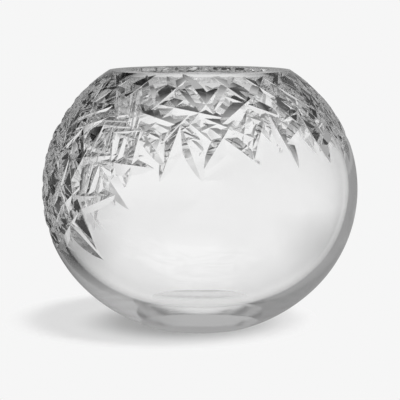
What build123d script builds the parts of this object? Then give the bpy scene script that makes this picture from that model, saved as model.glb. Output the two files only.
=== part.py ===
"""A rose bowl vase: one blown bowl of clear crystal with a mitre-cut shoulder.

The foot stands on z = 0, the bowl's axis is Z, and the front faces -Y.
"""

from build123d import *
import math
import os

# Outside of the bowl: an oval drawn with four arcs, ground flat at the foot and the rim
body_radius = 110.0
body_half_height = 101.6
foot_radius = 38.0
foot_edge_radius = 1.6
rim_outer_radius = 62.8
rim_edge_radius = 1.4

# Inside of the bowl: an oval of its own above the equator, two deeper arcs below, a short ground land at the mouth
side_wall = 6.0
cap_wall = 9.6
mouth_radius = 49.2
mouth_edge_radius = 0.6
lower_side_radius = 83.3
floor_starts_at = -55.0

# Mitre wheel: the two flanks of the groove, measured from the surface of the glass, and the depth of the groove
shallow_flank = 17.0
steep_flank = 28.0
deepest_cut = 2.9
wheel_clearance = 0.6
reach_margin = 1.3

# Lower border of the cut zone: latitudes in degrees, with a dip on the left and a slow rise to the right
border_latitude = 24.5
dip_latitude = -14.0
dip_azimuth = -88.0
dip_half_width = 38.0
dip_slope_width = 30.0
border_rise = 3.0
rise_from = 75.0
rise_width = 46.0

# Rows of leaf cuts that follow the border up to a top latitude, and one row of their own under the rim
row_step = 7.6
row_stagger = 8.0
border_spacing = 15.0
leaf_spacing = 12.5
last_gap = 5.0
top_latitude = 42.0
rim_row = 47.5
rim_spacing = 12.0
back_azimuth = 180.0

# Lean of a leaf from the upright of its row, and how far each leaf strays in lean, place and depth
border_lean = 36.0
border_lean_spread = 24.0
leaf_lean = 46.0
lean_spread = 30.0
rim_lean = 36.0
rim_lean_spread = 8.0
row_spread = 1.6
place_spread = 0.3
border_lift = 0.2
second_row_lift = 0.7
field_lift = 1.0
rim_lift = 0.4

# An oval's arcs meet at 45 degrees
junction = 45.0


def oval(half_width, half_height):
    """How far the centres of an oval's arcs lie from its middle, and the radii of its caps and its sides."""
    centre = (half_width - half_height) / (2 - math.sqrt(2))
    return centre, half_height + centre, half_width - centre


def arc_point(centre, radius, latitude):
    """A point on an arc of the section, where latitude is the direction from the arc's centre."""
    angle = math.radians(latitude)
    return (centre[0] + radius * math.cos(angle), centre[1] + radius * math.sin(angle))


def arc_between(centre, radius, start, end):
    """The three points of an arc of the section between two latitudes."""
    return [arc_point(centre, radius, latitude) for latitude in (start, (start + end) / 2, end)]


def latitude_at(radius, reach):
    """The latitude at which an arc centred on the axis is the given reach away from it."""
    return math.degrees(math.acos(reach / radius))


# Outside arcs, and the heights that follow from the radii of the foot and the rim
arc_centre, cap_radius, side_radius = oval(body_radius, body_half_height)
foot_latitude = -latitude_at(cap_radius, foot_radius)
rim_latitude = latitude_at(cap_radius, rim_outer_radius)
equator = -cap_radius * math.sin(math.radians(foot_latitude)) - arc_centre
upper_centre = (0, equator - arc_centre)
lower_centre = (0, equator + arc_centre)
side_centre = (arc_centre, equator)
rim_height = arc_point(upper_centre, cap_radius, rim_latitude)[1]

# Inside arcs, from the land at the mouth down to the floor
inner_centre, inner_cap_radius, inner_side_radius = oval(body_radius - side_wall, body_half_height - cap_wall)
inner_cap_centre = (0, equator - inner_centre)
inner_side_centre = (inner_centre, equator)
land_latitude = latitude_at(inner_cap_radius, mouth_radius)
land_height = arc_point(inner_cap_centre, inner_cap_radius, land_latitude)[1]
lower_side_centre = (body_radius - side_wall - lower_side_radius, equator)
floor_radius = lower_side_radius + lower_side_centre[0] / math.cos(math.radians(floor_starts_at))
floor_drop = lower_side_centre[0] * math.tan(math.radians(floor_starts_at))
floor_centre = (0, equator - floor_drop)
floor_height = floor_centre[1] - floor_radius


def wander(seed):
    """A repeatable number from -1 to 1 that looks unordered from one seed to the next."""
    scrambled = math.sin(seed * 12.9898) * 43758.5453
    return 2 * (scrambled - math.floor(scrambled)) - 1


def eased(value, start, width):
    """A soft step from 0 to 1 over a width."""
    part = min(max((value - start) / width, 0), 1)
    return (1 - math.cos(math.pi * part)) / 2


def border_at(azimuth):
    """The latitude of the middle of the lowest leaves at an azimuth."""
    away = abs((azimuth - dip_azimuth + 180) % 360 - 180)
    climb = (border_latitude - dip_latitude) * eased(away, dip_half_width, dip_slope_width)
    return dip_latitude + climb + border_rise * eased(away, rise_from, rise_width)


def surface_point(latitude):
    """The reach and height of the outside at a latitude of the upper half or the side."""
    if latitude > junction:
        return arc_point(upper_centre, cap_radius, latitude)
    return arc_point(side_centre, side_radius, latitude)


def field_leaves():
    """Latitude, azimuth, lean and lift of the leaves in the rows that follow the border."""
    leaves = []
    for row in range(int((top_latitude - dip_latitude) / row_step) + 1):
        azimuth = back_azimuth + row * row_stagger
        last = azimuth + 360 - last_gap
        side = 1
        while azimuth < last:
            seed = len(leaves) + 1
            side = -side
            latitude = border_at(azimuth) + row * row_step
            ring = surface_point(min(latitude, top_latitude))[0]
            slope = (border_at(azimuth + 1) - border_at(azimuth - 1)) / 2 * side_radius / ring
            spacing = math.degrees((leaf_spacing if row else border_spacing) / ring)
            own_azimuth = azimuth + spacing * place_spread * wander(seed + 0.1)
            own_latitude = latitude + row_spread * wander(seed + 0.2)
            upright = -math.degrees(math.atan(slope))
            middle, spread = (leaf_lean, lean_spread) if row else (border_lean, border_lean_spread)
            lean = upright + side * (middle + spread * wander(seed + 0.3))
            lift = (field_lift if row else border_lift) * (1 + wander(seed + 0.4)) / 2
            if row == 1:
                lift += second_row_lift
            leaves.append((own_latitude, own_azimuth, lean, lift))
            azimuth += spacing / math.hypot(1, slope)
    return [leaf for leaf in leaves if leaf[0] < top_latitude]


def rim_leaves():
    """Latitude, azimuth, lean and lift of the leaves in the row under the rim."""
    leaves = []
    count = round(2 * math.pi * surface_point(rim_row)[0] / rim_spacing)
    for place in range(count):
        side = 1 if place % 2 else -1
        azimuth = (place + place_spread * wander(place + 0.6)) * 360 / count
        lean = side * (rim_lean + rim_lean_spread * wander(place + 0.7))
        lift = rim_lift + field_lift * (1 + wander(place + 0.8)) / 2
        leaves.append((rim_row, azimuth, lean, lift))
    return leaves


def groove_plane(latitude, azimuth, lean, lift):
    """The plane of a groove's section: its normal runs along the cut and its y axis points out of the glass."""
    reach, height = surface_point(latitude)
    turn = math.radians(azimuth)
    tilt = math.radians(latitude)
    swing = math.radians(lean)
    east = Vector(math.cos(turn), math.sin(turn), 0)
    away = Vector(math.sin(turn), -math.cos(turn), 0)
    outward = away * math.cos(tilt) + Vector(0, 0, math.sin(tilt))
    north = Vector(0, 0, math.cos(tilt)) - away * math.sin(tilt)
    along = north * math.cos(swing) + east * math.sin(swing)
    place = away * reach + Vector(0, 0, height)
    return Plane(origin=place + outward * lift, x_dir=outward.cross(along), z_dir=along)


def groove_width(flank):
    """How far a flank of the wheel reaches sideways at the top of the groove."""
    return (deepest_cut + wheel_clearance) / math.tan(math.radians(flank))


# The wheel is held either way round, so that the steep flank is on one side or the other
leaves = field_leaves() + rim_leaves()
groove_planes = {1: [], -1: []}
for number, leaf in enumerate(leaves):
    groove_planes[1 if wander(number + 0.5) > 0 else -1].append(groove_plane(*leaf))
cut_reach = reach_margin * math.sqrt(2 * cap_radius * (deepest_cut + wheel_clearance))

# The bowl, turned about its axis and then cut on the wheel
with BuildPart() as cut_glass_bowl:
    with BuildSketch(Plane.XZ):
        with BuildLine():
            Line((0, floor_height), (0, 0))
            Line((0, 0), (foot_radius, 0))
            ThreePointArc(*arc_between(lower_centre, cap_radius, foot_latitude, -junction))
            ThreePointArc(*arc_between(side_centre, side_radius, -junction, junction))
            ThreePointArc(*arc_between(upper_centre, cap_radius, junction, rim_latitude))
            Line((rim_outer_radius, rim_height), (mouth_radius, rim_height))
            Line((mouth_radius, rim_height), (mouth_radius, land_height))
            ThreePointArc(*arc_between(inner_cap_centre, inner_cap_radius, land_latitude, junction))
            ThreePointArc(*arc_between(inner_side_centre, inner_side_radius, junction, 0))
            ThreePointArc(*arc_between(lower_side_centre, lower_side_radius, 0, floor_starts_at))
            ThreePointArc(*arc_between(floor_centre, floor_radius, floor_starts_at, -90))
        make_face()
        fillet(vertices().sort_by_distance((foot_radius, 0))[0], radius=foot_edge_radius)
        fillet(vertices().sort_by_distance((rim_outer_radius, rim_height))[0], radius=rim_edge_radius)
        fillet(vertices().sort_by_distance((mouth_radius, rim_height))[0], radius=mouth_edge_radius)
    revolve(axis=Axis.Z)
    for way, planes in groove_planes.items():
        with BuildSketch(*planes):
            Polygon(
                (0, -deepest_cut),
                (way * groove_width(shallow_flank), wheel_clearance),
                (-way * groove_width(steep_flank), wheel_clearance),
                align=None,
            )
        extrude(amount=cut_reach, both=True, mode=Mode.SUBTRACT)

cut_glass_bowl.part.label = "cut_glass_bowl"

os.makedirs("parts", exist_ok=True)
export_step(cut_glass_bowl.part, "parts/cut_glass_bowl.step")
print("cuts", len(leaves), "solids", len(cut_glass_bowl.part.solids()))
print("height", round(rim_height, 2), "land", round(rim_height - land_height, 2), "floor", round(floor_height, 2))
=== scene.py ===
# %% [markdown]
# # A rose bowl in cut crystal
# The bowl is one piece of clear glass. It was blown nearly round, ground flat at the foot and the mouth,
# and cut with a mitre wheel all over its shoulder. What the eye sees is how light bends in that glass, so
# the lesson builds a true solid with true facets first, and then a quiet studio for it to bend.

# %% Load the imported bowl
import math

import bmesh
import bpy
from mathutils import Matrix, Vector


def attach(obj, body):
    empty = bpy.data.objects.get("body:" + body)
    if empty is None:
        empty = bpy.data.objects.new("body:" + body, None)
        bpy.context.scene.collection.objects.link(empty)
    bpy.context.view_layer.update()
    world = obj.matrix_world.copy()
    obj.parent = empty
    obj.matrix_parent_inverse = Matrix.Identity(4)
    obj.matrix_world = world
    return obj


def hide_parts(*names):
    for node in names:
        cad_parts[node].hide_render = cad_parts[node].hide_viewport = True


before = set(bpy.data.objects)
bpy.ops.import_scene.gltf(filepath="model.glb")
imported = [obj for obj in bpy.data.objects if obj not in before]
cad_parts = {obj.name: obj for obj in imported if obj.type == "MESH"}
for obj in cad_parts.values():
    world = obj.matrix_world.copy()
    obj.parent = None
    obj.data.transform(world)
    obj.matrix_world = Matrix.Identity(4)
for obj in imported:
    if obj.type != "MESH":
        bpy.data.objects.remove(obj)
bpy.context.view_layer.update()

# %% [markdown]
# The outside is an oval drawn with four arcs, as a maker would draw a mould for it. The inside has an oval
# of its own above the equator and two deeper arcs below, so the wall is thin at the side and thicker at the
# shoulder that is cut. The sizes are in millimetres and are those of the solid model. Polishing takes a few
# hundredths of a millimetre off, which keeps the glass just inside the solid.

# %% Sizes of the blown glass, in millimetres and degrees
MM = 0.001
body_radius, body_half_height = 110.0, 101.6
foot_radius, foot_edge_radius = 38.0, 1.6
rim_outer_radius, rim_edge_radius = 62.8, 1.4
side_wall, cap_wall = 6.0, 9.6
mouth_radius, mouth_edge_radius = 49.2, 0.6
lower_side_radius, floor_starts_at = 83.3, -55.0
junction = 45.0
polish = 0.03


def oval(half_width, half_height):
    """How far the centres of an oval's arcs lie from its middle, and the radii of its caps and its sides."""
    centre = (half_width - half_height) / (2 - math.sqrt(2))
    return centre, half_height + centre, half_width - centre


def arc_point(centre, radius, latitude):
    angle = math.radians(latitude)
    return (centre[0] + radius * math.cos(angle), centre[1] + radius * math.sin(angle))


def latitude_at(radius, reach):
    return math.degrees(math.acos(reach / radius))


arc_centre, cap_radius, side_radius = oval(body_radius - polish, body_half_height - polish)
inner_centre, inner_cap_radius, inner_side_radius = oval(body_radius - side_wall, body_half_height - cap_wall)
foot_latitude = -latitude_at(cap_radius, foot_radius)
rim_latitude = latitude_at(cap_radius, rim_outer_radius)
equator = -cap_radius * math.sin(math.radians(foot_latitude)) - arc_centre
upper_centre, lower_centre = (0, equator - arc_centre), (0, equator + arc_centre)
side_centre = (arc_centre, equator)
rim_height = arc_point(upper_centre, cap_radius, rim_latitude)[1]
print("equator", round(equator, 2), "rim", round(rim_height, 2))

# %% [markdown]
# The outline is sampled finely, because the steps of a coarse lathe would show as bands in the light that
# the glass bends. Small arcs round the foot, the rim and the mouth, where the real bowl was ground and
# polished.

# %% The outline of the section
ARC_STEP = 1.25


def arc(centre, radius, start, end):
    steps = max(2, round(abs(end - start) / ARC_STEP))
    return [arc_point(centre, radius, start + (end - start) * i / steps) for i in range(steps + 1)]


def rounded(before, corner, after, radius, steps=16):
    """The arc that rounds a corner of the outline between two neighbouring points."""
    a, b, c = Vector(before), Vector(corner), Vector(after)
    ahead, behind = (c - b).normalized(), (a - b).normalized()
    half = ahead.angle(behind) / 2
    middle = b + (ahead + behind).normalized() * radius / math.sin(half)
    start = b + behind * radius / math.tan(half) - middle
    turn = math.pi - 2 * half
    side = -1 if behind.cross(ahead) > 0 else 1
    return [tuple(middle + Matrix.Rotation(side * turn * i / steps, 2) @ start) for i in range(steps + 1)]


lower_side_centre = (body_radius - side_wall - lower_side_radius, equator)
floor_radius = lower_side_radius + lower_side_centre[0] / math.cos(math.radians(floor_starts_at))
floor_centre = (0, equator - lower_side_centre[0] * math.tan(math.radians(floor_starts_at)))
inner_cap_centre = (0, equator - inner_centre)
land_latitude = latitude_at(inner_cap_radius, mouth_radius)
lower_cap = arc(lower_centre, cap_radius, foot_latitude, -junction)
upper_cap = arc(upper_centre, cap_radius, junction, rim_latitude)
inner_cap = arc(inner_cap_centre, inner_cap_radius, land_latitude, junction)
foot_corner, rim_corner, mouth_corner = lower_cap[0], upper_cap[-1], (mouth_radius, rim_height)

outline = [(0, 0)]
outline += rounded((0, 0), foot_corner, lower_cap[1], foot_edge_radius)
outline += [p for p in lower_cap if math.dist(p, foot_corner) > 2 * foot_edge_radius]
outline += arc(side_centre, side_radius, -junction, junction)[1:]
outline += [p for p in upper_cap[1:] if math.dist(p, rim_corner) > 2 * rim_edge_radius]
outline += rounded(upper_cap[-2], rim_corner, mouth_corner, rim_edge_radius)
outline += rounded(rim_corner, mouth_corner, inner_cap[0], mouth_edge_radius)
outline += inner_cap
outline += arc((inner_centre, equator), inner_side_radius, junction, 0)[1:]
outline += arc(lower_side_centre, lower_side_radius, 0, floor_starts_at)[1:]
outline += arc(floor_centre, floor_radius, floor_starts_at, -90)[1:]
print("outline points", len(outline), "base thickness", round(outline[-1][1], 2))

# %% [markdown]
# Turning the outline about Z gives the blown bowl, as a Screw modifier would. Writing the rings out keeps
# the mesh closed: the first and last points lie on the axis and become single vertices.

# %% Turn the bowl
TURNS = 288


def lathe(name, points, turns):
    mesh = bpy.data.meshes.new(name)
    rings = points[1:-1]
    vertices = [(0, 0, points[0][1] * MM), (0, 0, points[-1][1] * MM)]
    for r, z in rings:
        for i in range(turns):
            angle = 2 * math.pi * i / turns
            vertices.append((r * math.cos(angle) * MM, r * math.sin(angle) * MM, z * MM))
    faces = []
    for i in range(turns):
        j = (i + 1) % turns
        faces.append((0, 2 + j, 2 + i))
        for k in range(len(rings) - 1):
            low, high = 2 + k * turns, 2 + (k + 1) * turns
            faces.append((low + i, low + j, high + j, high + i))
        last = 2 + (len(rings) - 1) * turns
        faces.append((last + i, last + j, 1))
    mesh.from_pydata(vertices, [], faces)
    piece = bpy.data.objects.new(name, mesh)
    bpy.context.scene.collection.objects.link(piece)
    return piece


bowl = lathe("cut_glass_bowl_glass", outline, TURNS)
print("turned faces", len(bowl.data.polygons))

# %% [markdown]
# A mitre wheel has a V edge. Held against round glass it grinds a groove that is deepest in the middle and
# runs out at both ends: a leaf with two flat flanks. Rows of leaves that lean to either side and cross each
# other make the band of facets. The rows follow the lower border of the band, which dips on the left of the
# bowl and rises a little to the right. Each leaf strays in place, lean and depth, so that no two facets are
# alike.

# %% Sizes of the mitre cuts
shallow_flank, steep_flank = 17.0, 28.0
deepest_cut, wheel_clearance, reach_margin = 2.9, 0.6, 1.3
border_latitude, dip_latitude = 24.5, -14.0
dip_azimuth, dip_half_width, dip_slope_width = -88.0, 38.0, 30.0
border_rise, rise_from, rise_width = 3.0, 75.0, 46.0
row_step, row_stagger, last_gap = 7.6, 8.0, 5.0
border_spacing, leaf_spacing, rim_spacing = 15.0, 12.5, 12.0
top_latitude, rim_row, back_azimuth = 42.0, 47.5, 180.0
border_lean, border_lean_spread = 36.0, 24.0
leaf_lean, lean_spread = 46.0, 30.0
rim_lean, rim_lean_spread = 36.0, 8.0
row_spread, place_spread = 1.6, 0.3
border_lift, second_row_lift, field_lift, rim_lift = 0.2, 0.7, 1.0, 0.4


def wander(seed):
    """A repeatable number from -1 to 1 that looks unordered from one seed to the next."""
    scrambled = math.sin(seed * 12.9898) * 43758.5453
    return 2 * (scrambled - math.floor(scrambled)) - 1


def eased(value, start, width):
    part = min(max((value - start) / width, 0), 1)
    return (1 - math.cos(math.pi * part)) / 2


def border_at(azimuth):
    away = abs((azimuth - dip_azimuth + 180) % 360 - 180)
    climb = (border_latitude - dip_latitude) * eased(away, dip_half_width, dip_slope_width)
    return dip_latitude + climb + border_rise * eased(away, rise_from, rise_width)


def surface_point(latitude):
    if latitude > junction:
        return arc_point(upper_centre, cap_radius, latitude)
    return arc_point(side_centre, side_radius, latitude)


print("border at the left, front and right", [round(border_at(a), 1) for a in (-90, 0, 90)])

# %% [markdown]
# A leaf is a latitude, an azimuth, a lean and a lift of the wheel. The walk around the bowl takes even
# steps along the row, also where the row runs downhill, and the leaves stand upright on the row there. The
# lowest row has longer steps and deeper cuts than the rows above it, so that its leaves stand out as
# petals. The steps are taken on the solid before polishing, so that each leaf falls where the solid has it.

# %% Lay out the leaves
solid_side_radius = side_radius + polish


def field_leaves():
    leaves = []
    for row in range(int((top_latitude - dip_latitude) / row_step) + 1):
        azimuth = back_azimuth + row * row_stagger
        last = azimuth + 360 - last_gap
        side = 1
        while azimuth < last:
            seed = len(leaves) + 1
            side = -side
            latitude = border_at(azimuth) + row * row_step
            ring = arc_point(side_centre, solid_side_radius, min(latitude, top_latitude))[0]
            slope = (border_at(azimuth + 1) - border_at(azimuth - 1)) / 2 * solid_side_radius / ring
            spacing = math.degrees((leaf_spacing if row else border_spacing) / ring)
            own_azimuth = azimuth + spacing * place_spread * wander(seed + 0.1)
            own_latitude = latitude + row_spread * wander(seed + 0.2)
            upright = -math.degrees(math.atan(slope))
            middle, spread = (leaf_lean, lean_spread) if row else (border_lean, border_lean_spread)
            lean = upright + side * (middle + spread * wander(seed + 0.3))
            lift = (field_lift if row else border_lift) * (1 + wander(seed + 0.4)) / 2
            if row == 1:
                lift += second_row_lift
            leaves.append((own_latitude, own_azimuth, lean, lift))
            azimuth += spacing / math.hypot(1, slope)
    return [leaf for leaf in leaves if leaf[0] < top_latitude]


def rim_leaves():
    leaves = []
    count = round(2 * math.pi * surface_point(rim_row)[0] / rim_spacing)
    for place in range(count):
        side = 1 if place % 2 else -1
        azimuth = (place + place_spread * wander(place + 0.6)) * 360 / count
        lean = side * (rim_lean + rim_lean_spread * wander(place + 0.7))
        lift = rim_lift + field_lift * (1 + wander(place + 0.8)) / 2
        leaves.append((rim_row, azimuth, lean, lift))
    return leaves


leaves = field_leaves() + rim_leaves()
print("leaves", len(leaves))

# %% [markdown]
# The cutters are long three-sided bars, one for each leaf. The wheel is held either way round, so the steep
# flank is on one side or the other. Cutting by Boolean gives the flat flanks and sharp ridges that a wheel
# leaves, which no bump map can, because glass shows its facets through its thickness.

# %% One cutter bar
cut_reach = reach_margin * math.sqrt(2 * cap_radius * (deepest_cut + wheel_clearance))


def groove_frame(latitude, azimuth, lean, lift):
    """Where a groove lies: x across it, y out of the glass, z along it."""
    reach, height = surface_point(latitude)
    turn, tilt, swing = math.radians(azimuth), math.radians(latitude), math.radians(lean)
    east = Vector((math.cos(turn), math.sin(turn), 0))
    away = Vector((math.sin(turn), -math.cos(turn), 0))
    up = Vector((0, 0, 1))
    outward = away * math.cos(tilt) + up * math.sin(tilt)
    north = up * math.cos(tilt) - away * math.sin(tilt)
    along = north * math.cos(swing) + east * math.sin(swing)
    turned = Matrix((outward.cross(along), outward, along)).transposed().to_4x4()
    return Matrix.Translation(away * reach + up * height + outward * lift) @ turned


def add_bar(made, place, way):
    rise = deepest_cut + wheel_clearance
    shallow, steep = [rise / math.tan(math.radians(flank)) for flank in (shallow_flank, steep_flank)]
    section = [(0, -deepest_cut), (way * shallow, wheel_clearance), (-way * steep, wheel_clearance)]
    low, high = [[made.verts.new((place @ Vector((x, y, z))) * MM) for x, y in section]
                 for z in (-cut_reach, cut_reach)]
    made.faces.new(low)
    made.faces.new(high)
    for i in range(3):
        j = (i + 1) % 3
        made.faces.new((low[i], low[j], high[j], high[i]))


print("bar length", round(2 * cut_reach, 1), "mm")

# %% [markdown]
# Bars that stay clear of each other share one Boolean cut, so that fewer than sixty cuts do the work of
# more than two hundred and fifty. Edges between flat flanks stay sharp, and the blown surface between them
# stays smooth.

# %% Cut the facets
SHARP_ANGLE = 6
batches = []
for number, leaf in enumerate(leaves):
    bar = (groove_frame(*leaf), 1 if wander(number + 0.5) > 0 else -1)
    middle = bar[0].translation
    free = [b for b in batches if all((middle - other.translation).length > 2 * cut_reach for other, _ in b)]
    if free:
        free[0].append(bar)
    else:
        batches.append([bar])

for number, batch in enumerate(batches):
    made = bmesh.new()
    for place, way in batch:
        add_bar(made, place, way)
    bmesh.ops.recalc_face_normals(made, faces=made.faces)
    tool = bpy.data.objects.new(f"bars_{number}", bpy.data.meshes.new(f"bars_{number}"))
    made.to_mesh(tool.data)
    made.free()
    bpy.context.scene.collection.objects.link(tool)
    cut = bowl.modifiers.new(f"cut_{number}", "BOOLEAN")
    cut.operation, cut.solver, cut.object = "DIFFERENCE", "MANIFOLD", tool

depsgraph = bpy.context.evaluated_depsgraph_get()
cut_mesh = bpy.data.meshes.new_from_object(bowl.evaluated_get(depsgraph), depsgraph=depsgraph)
tools = [cut.object for cut in bowl.modifiers]
bowl.modifiers.clear()
bowl.data = cut_mesh
for tool in tools:
    bpy.data.objects.remove(tool)
cut_mesh.shade_smooth()
cut_mesh.set_sharp_from_angle(angle=math.radians(SHARP_ANGLE))
check = bmesh.new()
check.from_mesh(cut_mesh)
print("batches", len(batches), "faces", len(cut_mesh.polygons))
print("open edges", sum(not edge.is_manifold for edge in check.edges))
print("volume cm3", round(check.calc_volume() * 1e6, 1))
check.free()

# %% [markdown]
# Colours are written as sRGB hex, and one function turns them into the linear values that the renderer
# works in. A second one adds a node with its settings and links, which keeps each material to a few lines.

# %% Colours and nodes
def linear(code):
    """A colour written as sRGB hex, as linear red, green, blue and alpha."""
    shares = [int(code[i:i + 2], 16) / 255 for i in (1, 3, 5)]
    return [s / 12.92 if s <= 0.04045 else ((s + 0.055) / 1.055) ** 2.4 for s in shares] + [1.0]


def node(tree, kind, inputs=None, **settings):
    """Adds a node with its settings, and sets or links its inputs."""
    made = tree.nodes.new(kind)
    for name, value in settings.items():
        setattr(made, name, value)
    for key, value in (inputs or {}).items():
        if isinstance(value, bpy.types.NodeSocket):
            tree.links.new(value, made.inputs[key])
        else:
            made.inputs[key].default_value = value
    return made


PALE = linear("#f6f6f6")[0]
print("pale", round(PALE, 3))

# %% [markdown]
# Crystal is a heavy, very clear glass with an index of refraction of about 1.53. Blowing leaves long,
# shallow waves in the wall. The cut flanks were polished in acid, which leaves the gloss a little uneven
# from patch to patch and rounds each ridge by about half a millimetre, so that the ridges catch the light
# as thin pale lines. The mesh has sharp ridges, and a Bevel node rounds them for the light only. The foot
# was ground flat on a fine wheel, which leaves a satin face. Its grit is too fine to show, so it is drawn
# at half a millimetre. One function makes both.

# %% The two finishes of the glass
CRYSTAL_IOR = 1.53
RIDGE_MM, RIDGE_SAMPLES = 0.45, 4
NOISE_LOW, NOISE_HIGH = 0.3, 0.7


def crystal_finish(name, tints, gloss, patch_mm, wave_mm, wave_height_mm):
    """Clear glass with patches of tint and gloss, shallow waves and rounded ridges."""
    finish = bpy.data.materials.new(name)
    finish.use_nodes = True
    tree = finish.node_tree
    shader = tree.nodes["Principled BSDF"]
    shader.inputs["IOR"].default_value = CRYSTAL_IOR
    shader.inputs["Transmission Weight"].default_value = 1.0
    place = node(tree, "ShaderNodeTexCoord").outputs["Object"]
    patch = node(tree, "ShaderNodeTexNoise", {"Vector": place, "Scale": 1 / (patch_mm * MM), "Detail": 3.0})
    wave = node(tree, "ShaderNodeTexNoise", {"Vector": place, "Scale": 1 / (wave_mm * MM), "Detail": 1.0})
    tint = node(tree, "ShaderNodeMixRGB", {
        "Fac": patch.outputs["Fac"], "Color1": linear(tints[0]), "Color2": linear(tints[1])})
    rough = node(tree, "ShaderNodeMapRange", {
        "Value": patch.outputs["Fac"], "From Min": NOISE_LOW, "From Max": NOISE_HIGH,
        "To Min": gloss[0], "To Max": gloss[1]})
    ridges = node(tree, "ShaderNodeBevel", {"Radius": RIDGE_MM * MM}, samples=RIDGE_SAMPLES)
    relief = node(tree, "ShaderNodeBump", {
        "Height": wave.outputs["Fac"], "Distance": wave_height_mm * MM, "Normal": ridges.outputs["Normal"]})
    tree.links.new(tint.outputs["Color"], shader.inputs["Base Color"])
    tree.links.new(rough.outputs["Result"], shader.inputs["Roughness"])
    tree.links.new(relief.outputs["Normal"], shader.inputs["Normal"])
    return finish


polished = crystal_finish("polished_crystal", tints=("#ffffff", "#fdfdfd"), gloss=(0.0, 0.012),
                          patch_mm=18, wave_mm=34, wave_height_mm=0.08)
ground = crystal_finish("satin_ground_crystal", tints=("#ffffff", "#f4f4f4"), gloss=(0.12, 0.2),
                        patch_mm=0.9, wave_mm=0.5, wave_height_mm=0.01)
print("finishes", polished.name, ground.name)

# %% [markdown]
# The ground face of the foot is the only one that lies on the table. It is found by the way it faces and by
# its height, and all the other faces are polished.

# %% Dress the bowl
FACES_DOWN, FOOT_DEPTH = -0.99, 0.1 * MM
cut_mesh.materials.clear()
cut_mesh.materials.append(polished)
cut_mesh.materials.append(ground)
for face in cut_mesh.polygons:
    face.material_index = 1 if face.normal.z < FACES_DOWN and face.center.z < FOOT_DEPTH else 0
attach(bowl, "root")
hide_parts("cut_glass_bowl")
print("ground faces", sum(face.material_index for face in cut_mesh.polygons))

# %% [markdown]
# Clear glass has no colour of its own, so the studio is its paint. A photographer stands it in a white tent
# with a few grey cards, and moves these about until each edge shows. The tent is written here as levels of
# light that depend on where a ray ends and how it came there. A ray that crosses the bowl shows the white
# tent and its cards. A ray that is turned back once inside the near wall looks at the dim front of the
# tent, and gives the grey band along the edge. A ray that is turned more often takes a settled level, which
# keeps each facet plain, and one that is guided a long way round after the hollow has a level of its own. A
# ray that leaves one cut and enters the next without a turn shows plain white. The faces that a ray has
# passed and its turns are whole numbers, so each limit lies between two of them: past the hollow is more
# than two faces, and past the bowl more than four.

# %% What the glass shows of the tent
SEEN = 0.975
NEAR_WALL, FAR_WALL = 0.39, 0.9
CROSSED = 0.4
PAST_HOLLOW, PAST_BOWL = 2.5, 4.5
TURNED, TURNED_OFTEN, TURNED_LONG = 0.5, 1.5, 4.5


def shown(tree, straight, cards, settled, guided):
    """The level that a ray by way of the glass shows, from those of straight, settled and guided light."""
    path = node(tree, "ShaderNodeLightPath").outputs
    turns, faces = path["Glossy Depth"], path["Transmission Depth"]
    far = node(tree, "ShaderNodeMath", {0: faces, 1: PAST_HOLLOW}, operation="GREATER_THAN").outputs[0]
    kept = node(tree, "ShaderNodeMix", {"Factor": far, "A": NEAR_WALL, "B": FAR_WALL}).outputs[0]
    dim = node(tree, "ShaderNodeMath", {0: kept, 1: turns}, operation="POWER").outputs[0]
    carded = node(tree, "ShaderNodeMath", {0: straight, 1: cards}, operation="MULTIPLY").outputs[0]
    dimmed = node(tree, "ShaderNodeMath", {0: carded, 1: dim}, operation="MULTIPLY").outputs[0]
    long_way = node(tree, "ShaderNodeMath", {0: turns, 1: TURNED_LONG}, operation="GREATER_THAN").outputs[0]
    crossed = node(tree, "ShaderNodeMix", {"Factor": long_way, "A": CROSSED, "B": guided}).outputs[0]
    mean = node(tree, "ShaderNodeMix", {"Factor": far, "A": settled, "B": crossed}).outputs[0]
    often = node(tree, "ShaderNodeMath", {0: turns, 1: TURNED_OFTEN}, operation="GREATER_THAN").outputs[0]
    level = node(tree, "ShaderNodeMix", {"Factor": often, "A": dimmed, "B": mean}).outputs[0]
    beyond = node(tree, "ShaderNodeMath", {0: faces, 1: PAST_BOWL}, operation="GREATER_THAN").outputs[0]
    direct = node(tree, "ShaderNodeMath", {0: turns, 1: TURNED}, operation="LESS_THAN").outputs[0]
    clear = node(tree, "ShaderNodeMath", {0: beyond, 1: direct}, operation="MULTIPLY").outputs[0]
    return node(tree, "ShaderNodeMix", {"Factor": clear, "A": level, "B": SEEN}).outputs[0]


print("left after a turn in the near and the far wall", NEAR_WALL, FAR_WALL)

# %% [markdown]
# The floor is matt white paper. Beside the bowl it takes the lamp's light and the bowl's shadow. Further off
# it fades into an even glow, as paper does on a light table, so that it has no horizon. Glass throws little
# light right under its belly, while the renderer lets the sky pass it freely, so the paper's colour is
# painted darker there: a painted contact shadow.

# %% Paper floor and shadow
FLOOR_HALF, FLOOR_SINK = 30.0, 0.2 * MM
BELLY_MIDDLE, BELLY_FROM, BELLY_TO, PAINTED_SHADOW_LEVEL = (-14 * MM, 6 * MM, 0), 34 * MM, 78 * MM, 0.55
GLOW_MIDDLE, GLOW_FROM, GLOW_TO = (-28 * MM, 20 * MM, 0), 80 * MM, 112 * MM
floor_mesh = bpy.data.meshes.new("floor")
square = ((-1, -1), (1, -1), (1, 1), (-1, 1))
floor_mesh.from_pydata([(x * FLOOR_HALF, y * FLOOR_HALF, -FLOOR_SINK) for x, y in square], [], [(0, 1, 2, 3)])
floor = bpy.data.objects.new("floor", floor_mesh)
bpy.context.scene.collection.objects.link(floor)
paper = bpy.data.materials.new("matt_white_paper")
paper.use_nodes = True
floor_mesh.materials.append(paper)
tree = paper.node_tree
place = node(tree, "ShaderNodeNewGeometry").outputs["Position"]
under = node(tree, "ShaderNodeVectorMath", {0: place, 1: BELLY_MIDDLE}, operation="DISTANCE")
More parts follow.
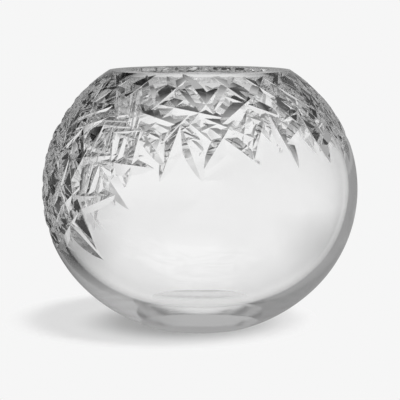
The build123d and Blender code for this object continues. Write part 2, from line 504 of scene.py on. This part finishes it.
# Painted shadow: the paper's base colour is darkened under the bowl's belly, as a painted contact shadow.
painted_belly_shadow = node(tree, "ShaderNodeMapRange", {
    "Value": under.outputs["Value"], "From Min": BELLY_FROM, "From Max": BELLY_TO,
    "To Min": PAINTED_SHADOW_LEVEL * PALE, "To Max": PALE}, interpolation_type="SMOOTHSTEP")
matt = tree.nodes["Principled BSDF"]
tree.links.new(painted_belly_shadow.outputs["Result"], matt.inputs["Base Color"])
matt.inputs["Roughness"].default_value = 1.0
matt.inputs["Specular IOR Level"].default_value = 0.0
beside = node(tree, "ShaderNodeVectorMath", {0: place, 1: GLOW_MIDDLE}, operation="DISTANCE")
away = node(tree, "ShaderNodeMapRange", {
    "Value": beside.outputs["Value"], "From Min": GLOW_FROM, "From Max": GLOW_TO},
    interpolation_type="SMOOTHSTEP")
glow = node(tree, "ShaderNodeEmission", {"Strength": PALE})
plain = node(tree, "ShaderNodeMixShader", {0: away.outputs["Result"], 1: matt.outputs[0], 2: glow.outputs[0]})
print("floor", 2 * FLOOR_HALF, "m")

# %% [markdown]
# Three kinds of cards belong to the paper, and only light that comes by way of the glass sees them. Grey
# cards lie along both sides, the darker one at the left, and round the edges off. A narrow card stands
# further off at the back left, and gives the leaves of the border a darker flank. It is placed by its
# bearing, which is how far to the right it lies as a share of its distance. Light that was turned in the
# glass sees a dark card at the left instead.

# %% Cards on the paper
DARK_CARD, LEFT_CARD, RIGHT_CARD, STANDING_CARD = 0.12, 0.58, 0.72, 0.35
DARK_FROM, DARK_TO = -135 * MM, -65 * MM
LYING_FROM, LYING_TO = 72 * MM, 128 * MM
ENDS_FROM, ENDS_TO = 0.2, 0.5
INNER_FROM, INNER_TO, OUTER_FROM, OUTER_TO = -0.15, -0.30, -0.45, -0.60
STANDS_FROM, STANDS_TO = 0.4, 0.7


def standing_card(tree, bearing):
    """What the standing card leaves of the light from a bearing."""
    inner = node(tree, "ShaderNodeMapRange", {
        "Value": bearing, "From Min": INNER_TO, "From Max": INNER_FROM,
        "To Min": STANDING_CARD, "To Max": 1.0})
    outer = node(tree, "ShaderNodeMapRange", {
        "Value": bearing, "From Min": OUTER_TO, "From Max": OUTER_FROM,
        "To Min": 1.0, "To Max": inner.outputs["Result"]})
    return outer.outputs["Result"]


path = node(tree, "ShaderNodeLightPath").outputs
apart = node(tree, "ShaderNodeVectorMath", {0: place}, operation="LENGTH").outputs["Value"]
side, depth, _ = node(tree, "ShaderNodeSeparateXYZ", {"Vector": place}).outputs
aside = node(tree, "ShaderNodeMath", {0: side}, operation="ABSOLUTE").outputs[0]
bearing = node(tree, "ShaderNodeMath", {0: side, 1: apart}, operation="DIVIDE").outputs[0]
dark = node(tree, "ShaderNodeMapRange", {
    "Value": side, "From Min": DARK_FROM, "From Max": DARK_TO, "To Min": DARK_CARD, "To Max": 1.0})
lying = node(tree, "ShaderNodeMapRange", {
    "Value": side, "From Min": -LYING_FROM, "From Max": LYING_FROM,
    "To Min": LEFT_CARD, "To Max": RIGHT_CARD})
ends = node(tree, "ShaderNodeMapRange", {
    "Value": apart, "From Min": ENDS_FROM, "From Max": ENDS_TO,
    "To Min": lying.outputs["Result"], "To Max": 1.0})
grey = node(tree, "ShaderNodeMapRange", {
    "Value": aside, "From Min": LYING_FROM, "From Max": LYING_TO,
    "To Min": 1.0, "To Max": ends.outputs["Result"]})
standing = node(tree, "ShaderNodeMapRange", {
    "Value": apart, "From Min": STANDS_FROM, "From Max": STANDS_TO,
    "To Min": 1.0, "To Max": standing_card(tree, bearing)})
greys = node(tree, "ShaderNodeMath", {
    0: grey.outputs["Result"], 1: standing.outputs["Result"]}, operation="MULTIPLY")
turned = node(tree, "ShaderNodeMath", {0: path["Glossy Depth"], 1: TURNED}, operation="GREATER_THAN")
cards = node(tree, "ShaderNodeMix", {
    "Factor": turned.outputs[0], "A": greys.outputs[0], "B": dark.outputs["Result"]})
print("cards at the left and right", LEFT_CARD, RIGHT_CARD)

# %% [markdown]
# Through the glass the paper itself shows the tent's level, with painted shade that makes it a little lower
# near the bowl. Light that has settled is brighter from the paper in front, which fills the base, than from
# the left or from behind, which darkens the mouth. Light that lands on the paper any other way sees the plain
# paper of the floor.

# %% Paper through the glass
NEAR_FROM, NEAR_TO, NEAR_SHARE = 0.10, 0.32, 0.97
FRONT_LEFT, FRONT, BACK = 0.18, 0.48, 0.04
LEFT_FROM, LEFT_TO = -100 * MM, -10 * MM
BACK_FROM, BACK_TO = 50 * MM, 90 * MM
SCATTERED = 0.5
# Painted shade: the paper's glow through the glass is a little lower near the bowl.
near = node(tree, "ShaderNodeMapRange", {
    "Value": apart, "From Min": NEAR_FROM, "From Max": NEAR_TO,
    "To Min": NEAR_SHARE * SEEN, "To Max": SEEN}, interpolation_type="SMOOTHSTEP")
front = node(tree, "ShaderNodeMapRange", {
    "Value": side, "From Min": LEFT_FROM, "From Max": LEFT_TO, "To Min": FRONT_LEFT, "To Max": FRONT})
settled = node(tree, "ShaderNodeMapRange", {
    "Value": depth, "From Min": BACK_FROM, "From Max": BACK_TO,
    "To Min": front.outputs["Result"], "To Max": BACK})
level = shown(tree, near.outputs["Result"], cards.outputs[0], settled.outputs["Result"], CROSSED)
shine = node(tree, "ShaderNodeEmission", {"Strength": level})
either = node(tree, "ShaderNodeMath", {
    0: path["Is Glossy Ray"], 1: path["Is Transmission Ray"]}, operation="MAXIMUM")
first = node(tree, "ShaderNodeMath", {0: path["Diffuse Depth"], 1: SCATTERED}, operation="LESS_THAN")
glass = node(tree, "ShaderNodeMath", {0: either.outputs[0], 1: first.outputs[0]}, operation="MULTIPLY")
both = node(tree, "ShaderNodeMixShader", {0: glass.outputs[0], 1: plain.outputs[0], 2: shine.outputs[0]})
tree.links.new(both.outputs[0], tree.nodes["Material Output"].inputs["Surface"])
print("paper nodes", len(tree.nodes))

# %% [markdown]
# The tent itself is the world. A ray's direction gives its height: white at the horizon, dark higher up, a
# little less so at the right, and bright in the overhead panel. The dark card and the standing card go on
# above the paper, each for the same light as there.

# %% White tent
UPPER_LEFT, UPPER_RIGHT, OVERHEAD, DARK_ABOVE = 0.04, 0.16, 1.2, 0.35
UPPER_FROM, UPPER_TO = -0.1, 0.5
WHITE_FROM, WHITE_TO = 0.0, 0.38
PANEL_FROM, PANEL_TO = 0.80, 0.90
ABOVE_FROM, ABOVE_TO = -0.34, -0.17
world = bpy.data.worlds.new("white_tent")
bpy.context.scene.world = world
world.use_nodes = True
tree = world.node_tree
path = node(tree, "ShaderNodeLightPath").outputs
ray = node(tree, "ShaderNodeTexCoord").outputs["Generated"]
side, _, height = node(tree, "ShaderNodeSeparateXYZ", {"Vector": ray}).outputs
upper = node(tree, "ShaderNodeMapRange", {
    "Value": side, "From Min": UPPER_FROM, "From Max": UPPER_TO, "To Min": UPPER_LEFT, "To Max": UPPER_RIGHT})
around = node(tree, "ShaderNodeMapRange", {
    "Value": height, "From Min": WHITE_FROM, "From Max": WHITE_TO,
    "To Min": SEEN, "To Max": upper.outputs["Result"]})
panel = node(tree, "ShaderNodeMapRange", {
    "Value": height, "From Min": PANEL_FROM, "From Max": PANEL_TO,
    "To Min": around.outputs["Result"], "To Max": OVERHEAD})
dark = node(tree, "ShaderNodeMapRange", {
    "Value": side, "From Min": ABOVE_FROM, "From Max": ABOVE_TO, "To Min": DARK_ABOVE, "To Max": 1.0})
turned = node(tree, "ShaderNodeMath", {0: path["Glossy Depth"], 1: TURNED}, operation="GREATER_THAN")
card = node(tree, "ShaderNodeMix", {
    "Factor": turned.outputs[0], "A": standing_card(tree, side), "B": dark.outputs["Result"]})
print("tent overhead", OVERHEAD)

# %% [markdown]
# Settled light is darker from the left and from high up. Guided light is darker from the left too, and
# nearly white from straight behind, so that the foot hardly shows through the body. Paper is lit by the
# tent's mean level, so that it keeps the colour it is written with, and behind the bowl the tent is as pale
# as the paper.

# %% Tent through the glass
SETTLED_LEFT, SETTLED_RIGHT, SETTLED_HIGH = 0.24, 0.42, 0.04
SETTLED_FROM, SETTLED_TO = -0.3, 0.3
HIGH_FROM, HIGH_TO = 0.3, 0.8
GUIDED_LEFT, GUIDED_BACK = 0.5, 0.9
GUIDED_FROM, GUIDED_TO = -0.5, -0.1
LIT = 0.78
low = node(tree, "ShaderNodeMapRange", {
    "Value": side, "From Min": SETTLED_FROM, "From Max": SETTLED_TO,
    "To Min": SETTLED_LEFT, "To Max": SETTLED_RIGHT})
settled = node(tree, "ShaderNodeMapRange", {
    "Value": height, "From Min": HIGH_FROM, "From Max": HIGH_TO,
    "To Min": low.outputs["Result"], "To Max": SETTLED_HIGH})
guided = node(tree, "ShaderNodeMapRange", {
    "Value": side, "From Min": GUIDED_FROM, "From Max": GUIDED_TO,
    "To Min": GUIDED_LEFT, "To Max": GUIDED_BACK})
level = shown(tree, panel.outputs["Result"], card.outputs[0],
              settled.outputs["Result"], guided.outputs["Result"])
scattered = node(tree, "ShaderNodeMath", {0: path["Diffuse Depth"], 1: SCATTERED}, operation="GREATER_THAN")
lit = node(tree, "ShaderNodeMix", {"Factor": scattered.outputs[0], "A": level, "B": LIT})
behind = node(tree, "ShaderNodeMix", {"Factor": path["Is Camera Ray"], "A": lit.outputs[0], "B": PALE})
tree.links.new(behind.outputs[0], tree.nodes["Background"].inputs["Color"])
print("tent nodes", len(tree.nodes))

# %% [markdown]
# One soft lamp high at the right throws the bowl's pale shadow to the left. It is left out of reflections,
# where it would show as a hard spot.

# %% Lamp
LAMP_ENERGY, LAMP_WIDTH, LAMP_SHINES = 0.72, 26, (-0.31, 0.2, -1)
lamp_data = bpy.data.lights.new("overhead_softbox", "SUN")
lamp_data.energy = LAMP_ENERGY
lamp_data.angle = math.radians(LAMP_WIDTH)
lamp = bpy.data.objects.new("overhead_softbox", lamp_data)
bpy.context.scene.collection.objects.link(lamp)
lamp.visible_glossy = False
lamp.visible_transmission = False
lamp.rotation_mode = "QUATERNION"
lamp.rotation_quaternion = Vector(LAMP_SHINES).to_track_quat("-Z", "Y")
print("lamp energy", lamp_data.energy)

# %% [markdown]
# The camera stands a little above the rim, about a metre away. Light is guided a long way inside a glass
# wall, so the paths may be long, and glossy filtering is off, because it would turn the clear glass to
# frosted.

# %% Camera
FOCAL_PX, PHOTO_PX, SENSOR_MM = 1632, 400, 36.0
CAMERA_ASIDE, CAMERA_AWAY, CAMERA_ABOVE, LOOKS_DOWN = 0.22, 1134, 136.4, 7.26
BOUNCES = 96
camera_data = bpy.data.cameras.new("camera")
camera_data.sensor_width = SENSOR_MM
camera_data.lens = FOCAL_PX * SENSOR_MM / PHOTO_PX
camera = bpy.data.objects.new("camera", camera_data)
bpy.context.scene.collection.objects.link(camera)
camera.location = (CAMERA_ASIDE * MM, -CAMERA_AWAY * MM, (equator + CAMERA_ABOVE) * MM)
camera.rotation_euler = (math.radians(90 - LOOKS_DOWN), 0, 0)
scene = bpy.context.scene
scene.camera = camera
scene.view_settings.view_transform = "Standard"
scene.cycles.max_bounces = BOUNCES
scene.cycles.transmission_bounces = BOUNCES
scene.cycles.glossy_bounces = BOUNCES
scene.cycles.blur_glossy = 0.0
print("lens", round(camera_data.lens, 1), "mm")
